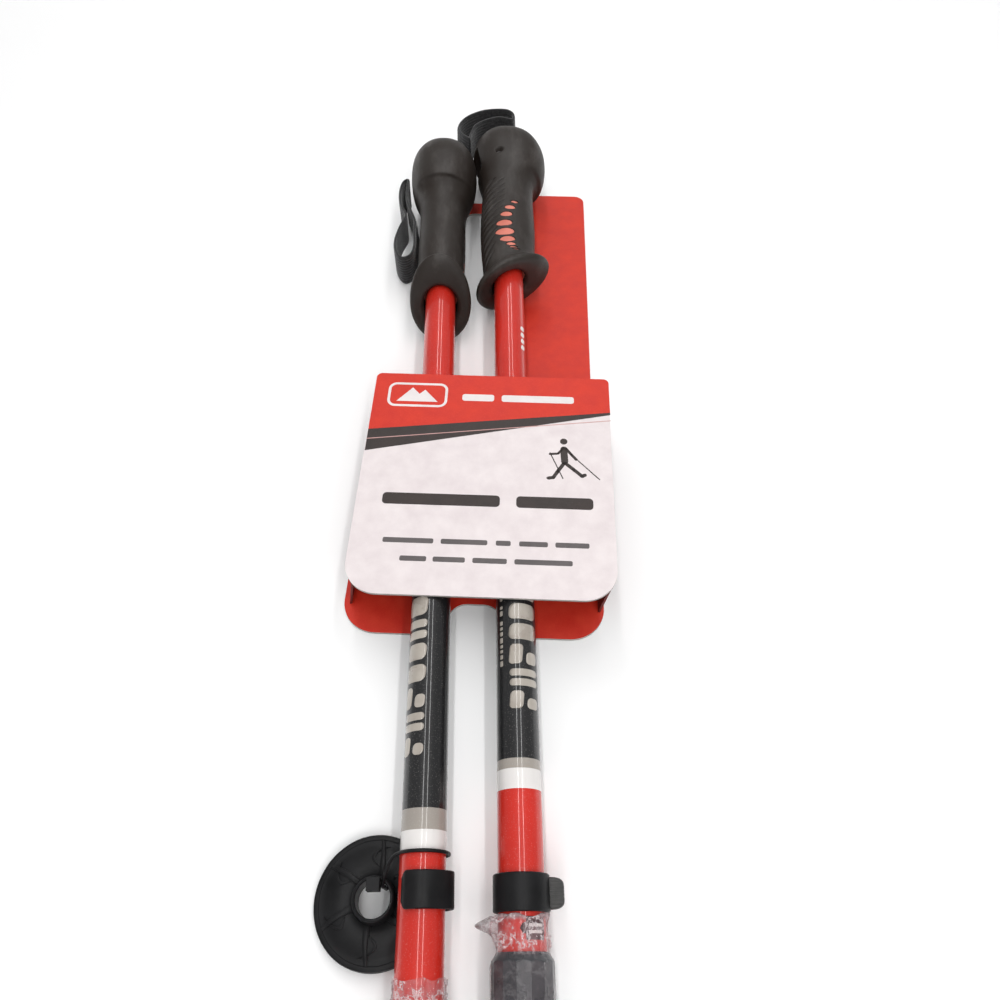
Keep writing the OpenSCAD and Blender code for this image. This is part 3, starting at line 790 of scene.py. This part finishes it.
def arrow_label(material, pale):
    """Dark arrow-shaped sticker under the right pole's film, with plain pale bars on it."""
    rows = []
    for k in range(25):
        t = k / 24
        start = 1.2 - 2.2 * (1 - abs(2 * t - 1)) * (0.25 < t < 0.75)
        rows.append((-352.4 + 7.4 * t, start, 9.2))
    tube_patches("right_arrow_label", "right", [rows], material, 0.12)
    bars = [rounded_rows(-350.4 + 2.1 * k, -349.4 + 2.1 * k, 2.2, 8.2, 0.3) for k in range(2)]
    tube_patches("right_arrow_bars", "right", bars, pale, 0.18)


# -------------------- clips

CLIP_WIDTH, CLIP_INNER, CLIP_WALL = 13.0, 9.05, 1.8
CLIP_MOUTH_DEG = 38.0


def clip(side, material, wear_and_lit_grey):
    """Snap clip: an open band with rounded lips, a raised middle rib and soft edges."""
    base = (POLE[side].inverted() @ Vector(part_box(f"{side}_snap_clip")[0])).y / MM
    profile = rounded_outline(0, CLIP_WALL, 0, CLIP_WIDTH, 0.7, 0.7, 5)
    mouth = {"left": -188, "right": -90}[side]
    start, end, steps = mouth + CLIP_MOUTH_DEG, mouth + 360 - CLIP_MOUTH_DEG, 96
    verts = []
    for i in range(steps + 1):
        degrees = start + (end - start) * i / steps
        angle = math.radians(degrees)
        into = min(degrees - start, end - degrees)
        tip = 1 - smooth(0, 16, into)
        lip = (1.5 if side == "right" else 0.2) * (1 - smooth(4, 24, into)) * smooth(0, 4, into)
        bulge = 1.6 * math.exp(-((degrees - 8) / 26) ** 2) if side == "left" else 0
        squeeze = 1 - 0.34 * tip * tip
        for r, along in profile:
            y = along - CLIP_WIDTH / 2
            rib = 0.35 * (1 - smooth(0.5, 1.1, abs(y))) if r > 0.9 else 0
            radial = CLIP_INNER + r * (1 - 0.35 * tip) + rib + lip + bulge
            verts.append(on_pole(side, radial * math.cos(angle), base + CLIP_WIDTH / 2 + y * squeeze,
                                 radial * math.sin(angle)))
    sharpen(piece(f"{side}_clip_band", verts, capped_faces(steps + 1, len(profile)), [material],
                  f"{side}_clip", [f"{side}_snap_clip"]), 50)
    # The right clip's lip gets a lighter grey: a painted highlight for the light on its outward face.
    if side == "right":
        lip_plate(base, wear_and_lit_grey)


def lip_plate(base, material):
    """Grey finger lip at the right clip's side, with cross grooves; its grey, lighter than the clip's
    black, is a painted highlight for the light on its outward face.
    """
    outer = CLIP_INNER + CLIP_WALL - 0.3
    reach, half, corner_steps = 5.4, 2.4, 4
    rows, verts = 64, []
    for i in range(rows + 1):
        t = i / rows
        along = 1 + (CLIP_WIDTH - 2) * t
        round_end = math.sqrt(max(0.0, 1 - (abs(2 * t - 1)) ** 6))
        groove = 0.28 * (0.5 + 0.5 * math.cos(t * math.tau * 8))
        outline = rounded_outline(-1.2, reach * round_end + 0.2, -half, half, 0.4, 1.1, corner_steps)
        for x, z in outline:
            up = z * (0.75 + 0.25 * round_end) - math.copysign(groove, z) * (abs(z) > 1.2)
            verts.append(on_pole("right", outer + x, base + along, up))
    faces = capped_faces(rows + 1, 4 * (corner_steps + 1))
    sharpen(piece("right_clip_lip", verts, faces, [material], "right_clip"), 50)


# -------------------- basket


HUB_R, HUB_BORE = 8.5, 6.75     # mm


def web_height(t):
    """Height of the basket's domed web in mm, from the hub at 0 to the rim at 1."""
    return 4.4 + 1.7 * math.sin(math.pi * min(1, t + 0.12))


def basket(material):
    """Trekking basket: notched rim, domed web, hub with a lip, and six pairs of ribs."""
    low, high = (Vector(c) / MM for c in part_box("basket"))
    middle = (low + high) / 2
    m = Matrix.Translation(Vector((middle.x, middle.y, 0)) * MM) @ Matrix.Scale(MM, 4)
    outer, top = (high.x - low.x) / 2, high.z
    inner = outer - 2.5

    def notch(r, h, angle):
        phase = math.degrees(angle) % 15
        inside = smooth(2.6, 3.3, phase) * (1 - smooth(10.2, 10.9, phase))
        deep = 1.1 if r > outer - 0.6 and 1.0 < h < 3.4 else 0
        return r - deep * inside, h

    rim = [(inner, 0.4), (inner + 0.3, 0.05), (outer - 0.4, 0.05), (outer - 0.05, 0.5),
           (outer, 0.95), (outer, 1.25), (outer, 1.6), (outer, 2.2), (outer, 2.9), (outer, 3.2),
           (outer - 0.05, 3.6), (outer - 0.3, 4.3), (outer - 0.9, 4.6), (inner + 0.5, 4.6),
           (inner + 0.1, 4.3), (inner, 3.6)]
    web_top = [(HUB_R - 0.3 + (inner + 0.5 - HUB_R) * t / 10, web_height(t / 10)) for t in range(11)]
    web = web_top + [(r, h - 1.3) for r, h in reversed(web_top)]
    wall = [(HUB_BORE, 2.2), (HUB_BORE + 0.3, 1.9), (HUB_R - 0.4, 1.9), (HUB_R, 2.3),
            (HUB_R, top - 3.4), (HUB_R - 0.35, top - 2.9), (HUB_R - 0.35, top - 0.8),
            (HUB_R - 0.8, top - 0.15), (HUB_R - 1.2, top), (HUB_BORE + 0.35, top),
            (HUB_BORE, top - 0.4)]
    for name, profile, shift, segments in (
            ("rim", rim, notch, 480), ("web", web, None, 160), ("hub", wall, None, 96)):
        verts, faces = revolve(profile, segments, m, shift)
        replaced = ["basket"] if name == "rim" else ()
        sharpen(piece(f"basket_{name}", verts, faces, [material], "basket",
                      replaced), 35)
    basket_ribs(m, inner, material)


def basket_ribs(m, inner, material):
    """Six ribs from hub to rim, each with a thin bowed one beside it."""
    verts, faces, steps = [], [], 22
    for rib in range(6):
        for bowed in (False, True):
            first = len(verts)
            for i in range(steps + 1):
                t = i / steps
                bow = math.sin(math.pi * t)
                r = HUB_R - 0.6 + (inner - HUB_R + 0.9) * (0.2 + 0.66 * t if bowed else t)
                angle = math.radians(rib * 60 + 16) + (0.341 * bow if bowed else 0.16 * t)
                width = 0.35 + 0.35 * bow if bowed else 1.5 - 0.7 * t
                lift = 0.45 if bowed else 1.15 - 0.5 * t
                rise = web_height((r - HUB_R) / (inner + 0.5 - HUB_R))
                c, s = math.cos(angle), math.sin(angle)
                for across, up in ((-width, -0.9), (width, -0.9), (width * 0.86, lift * 0.7),
                                   (width * 0.4, lift), (-width * 0.4, lift), (-width * 0.86, lift * 0.7)):
                    verts.append(m @ Vector((r * c - across * s, r * s + across * c, rise + up)))
            faces += capped_faces(steps + 1, 6, first)
    sharpen(piece("basket_ribs", verts, faces, [material], "basket"), 40)


# -------------------- straps

# Centre lines of the wrist straps beside the poles, in mm from station 0: (across, along)
STRAP_LINE = {
    "left": [(-26.6, 126), (-29.2, 122), (-30.8, 112), (-29.8, 98), (-26.2, 86), (-29.6, 74),
             (-31.6, 60), (-29.8, 48), (-25.8, 43), (-20.8, 46), (-18.8, 56), (-19.2, 70),
             (-18.9, 80), (-22.8, 93), (-26.2, 107)],
    "right": [(-24.8, 133.6), (-29.8, 139), (-33, 149), (-27, 161), (-14, 170.6), (0, 171.4),
              (7, 166), (5.6, 158.6), (-4, 161), (-14, 158.4), (-20.6, 152), (-23.4, 144)],
}
STRAP_WIDTH, STRAP_THICK = 22.0, 1.7


def strap(side, material):
    """Ribbed webbing on edge, along the strap's loop, with rolled edges and a slight lean."""
    line = STRAP_LINE[side]
    low, high = (Vector(c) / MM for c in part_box(f"{side}_wrist_strap"))
    corner = POLE[side].translation / MM
    path = spline(line + [line[0]], 16)[:-1]
    n, across = len(path), 56
    verts, profile = [], []
    for face in (1, -1):
        for k in range(across + 1):
            v = k / across if face > 0 else 1 - k / across
            edge = min(v, 1 - v) * STRAP_WIDTH
            thick = STRAP_THICK / 2 * (0.55 + 0.45 * smooth(0, 0.8, edge))
            rib = 0.16 * math.cos(v * math.tau * 11)
            profile.append((v, face * (thick + rib * smooth(0.5, 1.4, edge))))
    for i in range(n):
        ahead = (Vector(path[(i + 1) % n]) - Vector(path[i - 1])).normalized()
        out = Vector((ahead.y, -ahead.x))
        wave = math.sin(i / n * math.tau * 2 + 0.6)
        for v, off in profile:
            shift = off * (1 + 0.06 * math.sin(i * 1.9)) + (v - 0.5) * 1.2 * wave
            x = corner.x + path[i][0] + out.x * shift
            y = corner.y + path[i][1] + out.y * shift
            z = low.z + v * (high.z - low.z) + 0.25 * math.sin(i / n * math.tau * 5)
            verts.append(Vector((x, y, z)) * MM)
    faces = grid_faces(n, len(profile), wrap_rows=True)
    return piece(f"{side}_strap_webbing", verts, faces, [material], f"{side}_strap",
                 [f"{side}_wrist_strap"])


def webbing_material():
    """Black polyester webbing: fine cross weave with a dull sheen."""
    s = Shader("webbing", Roughness=0.82, Sheen_Weight=0.35, Sheen_Roughness=0.4)
    picks = s.noise(0.0009, 2, stretch=(1, 1, 0.5))
    fuzz = s.noise(0.0003, 2)
    tone = s.mix(s.range(picks, 0.35, 0.65, 0, 1), (0.006, 0.006, 0.007), (0.030, 0.029, 0.030))
    s.set("Base Color", s.mix(s.range(fuzz, 0.55, 0.8, 0, 0.35), tone, (0.09, 0.088, 0.085)))
    s.bump(s.math("ADD", s.math("MULTIPLY", picks, 0.7), fuzz), 0.0002)
    return s.material


# -------------------- lower parts


def turned_part(name, side, rows, material, body, replaced, segments, shift):
    """A part turned about the pole's axis: rows of (radius, station) of a closed outline."""
    m = POLE[side] @ Matrix.Scale(MM, 4) @ turn("X", -90)
    verts, faces = revolve(rows, segments, m, shift)
    return sharpen(piece(name, verts, faces, [material], body, replaced), 32)


def steps_down(count, start, pitch, wide, deep, drops):
    """Repeated (radius, station) points down an outline: wide for the first drop, then deep."""
    a, b, c = drops
    rows = []
    for s in (start - k * pitch for k in range(count)):
        rows += [(wide, s), (wide, s - a), (deep, s - b), (deep, s - c)]
    return rows


def tip(side, material):
    """Moulded tip, with the basket's thread and a ringed neck that holds the foot."""
    rows = [(7.02, -449.5), (7.5, -449.0), (8.2, -449.8)]
    rows += steps_down(9, -451, 2.4, 8.4, 8.0, (1.5, 1.8, 2.2))
    rows += [(8.4, -473), (9.6, -474.6), (10.0, -475.4), (10.0, -477.2), (9.6, -477.9), (6.9, -478.2)]
    rows += steps_down(7, -479.2, 2.5, 6.0, 6.6, (0.7, 1.2, 1.8))
    rows += [(6.1, -497.4), (6.0, -498), (6.0, -518), (5.0, -520), (3.02, -520), (3.02, -506),
             (5.6, -500), (7.02, -467)]

    def flutes(r, h, angle):
        flute = 0.5 * smooth(0.55, 0.85, math.cos(angle * 6)) if r > 8.1 and h > -473 else 0
        return r - flute, h

    turned_part(f"{side}_tip_moulding", side, rows, material, f"{side}_lower",
                [f"{side}_tip_ferrule"], 144, flutes)


def foot(side, material):
    """Rubber foot, with ring grooves and a lugged tread."""
    mouth = -499.0
    rows = [(6.08, mouth), (9.2, mouth), (9.8, mouth - 0.5), (9.8, mouth - 3.4), (9.2, mouth - 4.0)]
    rows += steps_down(7, mouth - 5.2, 3.6, 9.3, 8.7, (2.2, 2.6, 3.2))
    rows += [(9.6, -533), (11, -535.5), (11, -543.6), (10.4, -544.8), (8.6, -545), (7.6, -545),
             (7.4, -543.6), (4.2, -543.6), (4.0, -545), (1.2, -545), (1.0, -531.4), (3.2, -531),
             (3.2, -520.4), (6.08, -520.4)]

    def tread(r, h, angle):
        lug = 0.9 * smooth(0.2, 0.6, math.cos(angle * 12)) if r > 10.2 and h < -535.5 else 0
        return r - lug, h

    turned_part(f"{side}_foot_moulding", side, rows, material, f"{side}_foot",
                [f"{side}_rubber_foot"], 192, tread)


def bevels():
    """Bevels on the CAD pieces that stay in view."""
    widths = {"cable_tie_head": 0.0006}
    for side in SIDES:
        widths[f"{side}_twist_collar"] = widths[f"{side}_lower_collar"] = 0.0004
    for node, width in widths.items():
        bevel = frame["nodes"][node].modifiers.new("bevel", "BEVEL")
        bevel.width = width
        bevel.segments = 3
        bevel.limit_method = "ANGLE"
        bevel.angle_limit = math.radians(18)


# -------------------- stage


def stage():
    """Pale floor, just under the object so that the two don't share a plane."""
    size, drop = 6.0, 0.0004
    corners = [(-size, -size, -drop), (size, -size, -drop), (size, size, -drop), (-size, size, -drop)]
    mesh = bpy.data.meshes.new("floor")
    mesh.from_pydata(corners, [], [(0, 1, 2, 3)])
    floor = bpy.data.objects.new("floor", mesh)
    bpy.context.collection.objects.link(floor)
    s = Shader("floor", Roughness=0.9, Specular_IOR_Level=0.15)
    s.set("Base Color", s.mix(s.noise(0.4), (0.93, 0.93, 0.93), (0.96, 0.96, 0.96)))
    floor.data.materials.append(s.material)


def area_light(name, place, aim, size, power):
    data = bpy.data.lights.new(name, "AREA")
    data.shape = "RECTANGLE"
    data.size, data.size_y = size
    data.energy = power
    light = bpy.data.objects.new(name, data)
    light.location = place
    light.rotation_euler = (Vector(aim) - Vector(place)).to_track_quat("-Z", "Y").to_euler()
    bpy.context.collection.objects.link(light)
    return light


def lights():
    """Two long ceiling strips, as over a shop floor, and broad soft fills."""
    for name, x in (("strip_near", -0.12), ("strip_far", 0.36)):
        area_light(name, (x, 0.25, 1.25), (x, 0.25, 0), (0.06, 3.2), 8)
    fills = (("fill_front", (0.5, -1.6, 1.7), 15), ("fill_back", (-0.8, 1.9, 1.6), 12))
    for name, place, power in fills:
        fill = area_light(name, place, (0, 0.05, 0), (1.6, 1.2), power)
        fill.visible_glossy = False
    world = bpy.data.worlds.new("studio")
    world.use_nodes = True
    background = world.node_tree.nodes["Background"]
    background.inputs["Color"].default_value = (1, 1, 1, 1)
    background.inputs["Strength"].default_value = 0.38
    bpy.context.scene.world = world


# The camera stands over the tubes and looks down along them, towards the grips
CAMERA_PLACE = (0.0030, -0.1764, 0.334)
CAMERA_DOWN, CAMERA_YAW = 56.0, 0.82    # degrees
CAMERA_LENS, SENSOR_WIDTH = 27.0, 36.0  # mm


def camera():
    data = bpy.data.cameras.new("camera")
    data.lens = CAMERA_LENS
    data.sensor_width = SENSOR_WIDTH
    data.clip_start = 0.01
    cam = bpy.data.objects.new("camera", data)
    cam.location = CAMERA_PLACE
    down, yaw = math.radians(CAMERA_DOWN), math.radians(CAMERA_YAW)
    look = Vector((math.sin(yaw) * math.cos(down), math.cos(yaw) * math.cos(down), -math.sin(down)))
    cam.rotation_euler = look.to_track_quat("-Z", "Y").to_euler()
    bpy.context.collection.objects.link(cam)
    bpy.context.scene.camera = cam


# -------------------- CAD nodes


def rubber_material():
    """Grip rubber: brown-black, greyer in streaks of wear, with a fine matt grain."""
    s = Shader("grip_rubber", Specular_IOR_Level=0.42)
    cloud = s.noise(0.022, 4)
    streak = s.noise(0.011, 5, 0.65, stretch=(1, 0.28, 1))
    grain = s.noise(0.00045, 2)
    tone = s.mix(s.range(cloud, 0.35, 0.65, 0, 1), (0.017, 0.011, 0.008), (0.024, 0.019, 0.016))
    # Greyer, glossier streaks of wear in the rubber's own colour.
    wear_and_lit_grey = s.mix(s.range(streak, 0.50, 0.70, 0, 0.6), tone, (0.056, 0.048, 0.043))
    s.set("Base Color", wear_and_lit_grey)
    s.set("Roughness", s.range(streak, 0.35, 0.7, 0.56, 0.42))
    s.bump(s.math("ADD", grain, s.math("MULTIPLY", s.noise(0.0022, 3), 0.6)), 0.00007)
    return s.material


def poles():
    """Both poles and the basket: CAD nodes' materials, and the pieces added to them."""
    rubber = rubber_material()
    core = moulded("grip_core", (0.58, 0.15, 0.105), (0.72, 0.22, 0.16), 0.5)
    lock = moulded("lock_plastic", (0.02, 0.02, 0.021), (0.03, 0.03, 0.031))
    grey = moulded("collar_plastic", (0.032, 0.033, 0.037), (0.055, 0.057, 0.063), 0.26)
    bush = moulded("bush_plastic", (0.2, 0.2, 0.21), (0.26, 0.26, 0.27), 0.4)
    nylon = moulded("nylon", (0.66, 0.64, 0.58), (0.76, 0.74, 0.68), 0.42)
    black = moulded("black_plastic", (0.005, 0.005, 0.0055), (0.012, 0.012, 0.013), 0.42,
                    Specular_IOR_Level=0.22)
    # Lighter grey copy of the black plastic for the right clip's lip: a painted highlight for the light
    # its outward face catches.
    wear_and_lit_grey = moulded("lip_painted_highlight_plastic", (0.030, 0.029, 0.028), (0.060, 0.058, 0.056), 0.5)
    foot_rubber = moulded("foot_rubber", (0.014, 0.014, 0.014), (0.028, 0.027, 0.027), 0.6)
    alloy = machined("bare_tube", (0.66, 0.67, 0.69), 0.3)
    cone = machined("lock_metal", (0.5, 0.5, 0.52), 0.35)
    brass = machined("stud_metal", (0.72, 0.56, 0.3), 0.3)
    webbing = webbing_material()
    silver = moulded("print_silver", (0.34, 0.30, 0.26), (0.46, 0.42, 0.37), 0.3, Coat_Weight=0.6)
    white = moulded("print_white", (0.70, 0.66, 0.64), (0.82, 0.79, 0.77), 0.3, Coat_Weight=0.6)
    look = {
        "grip_core": core, "strap_lock": lock, "strap_tail": webbing, "twist_collar": grey,
        "strap_pin": machined("pin_steel", (0.62, 0.62, 0.63), 0.3), "collar_bush": bush,
        "middle_expander": nylon, "middle_cone": cone, "middle_stud": brass, "middle_tube": alloy,
        "lower_collar": grey, "lower_expander": nylon, "lower_cone": cone, "lower_stud": brass,
        "lower_tube": alloy, "carbide_tip": machined("carbide", (0.22, 0.22, 0.23), 0.34),
    }
    for side in SIDES:
        for part, material in look.items():
            paint(f"{side}_{part}", material)
        paint(f"{side}_upper_tube", lacquer(side))
        grip(side, rubber)
        core_pads(side, core)
        tube_print(side, silver, white)
        film(side, film_material(side))
        clip(side, black, wear_and_lit_grey)
        strap(side, webbing)
        tip(side, lock)
        foot(side, foot_rubber)
    arrow_label(black, white)
    for node in ("cable_tie", "cable_tie_head"):
        paint(node, black)
    basket(black)
    bevels()


def card_sleeve():
    """Materials of the card panels, and the print on the front one."""
    red = printed("card_red", (0.56, 0.022, 0.010), (0.64, 0.038, 0.018))
    card({
        "white": printed("card_white", (0.70, 0.625, 0.63), (0.79, 0.72, 0.72), fibre=0.02),
        "red": red,
        # Side panels: a darkened copy of the card's red, painted shade for their shadowed faces.
        "side": printed("card_side", (0.10, 0.012, 0.010), (0.16, 0.02, 0.016)),
        "inside": printed("card_inside", (0.34, 0.31, 0.28), (0.42, 0.39, 0.36), 0.8),
        "edge": board_edge(),
    })
    card_print(
        red,
        printed("print_pale", (0.72, 0.66, 0.65), (0.8, 0.75, 0.74), fibre=0.02),
        printed("print_dark", (0.030, 0.022, 0.020), (0.048, 0.036, 0.033)),
        printed("print_grey", (0.085, 0.075, 0.075), (0.13, 0.115, 0.115)),
        printed("print_pink", (0.55, 0.30, 0.28), (0.62, 0.38, 0.36), fibre=0.02),
    )


bpy.context.scene.view_settings.view_transform = "Standard"
camera()
stage()
lights()
poles()
card_sleeve()
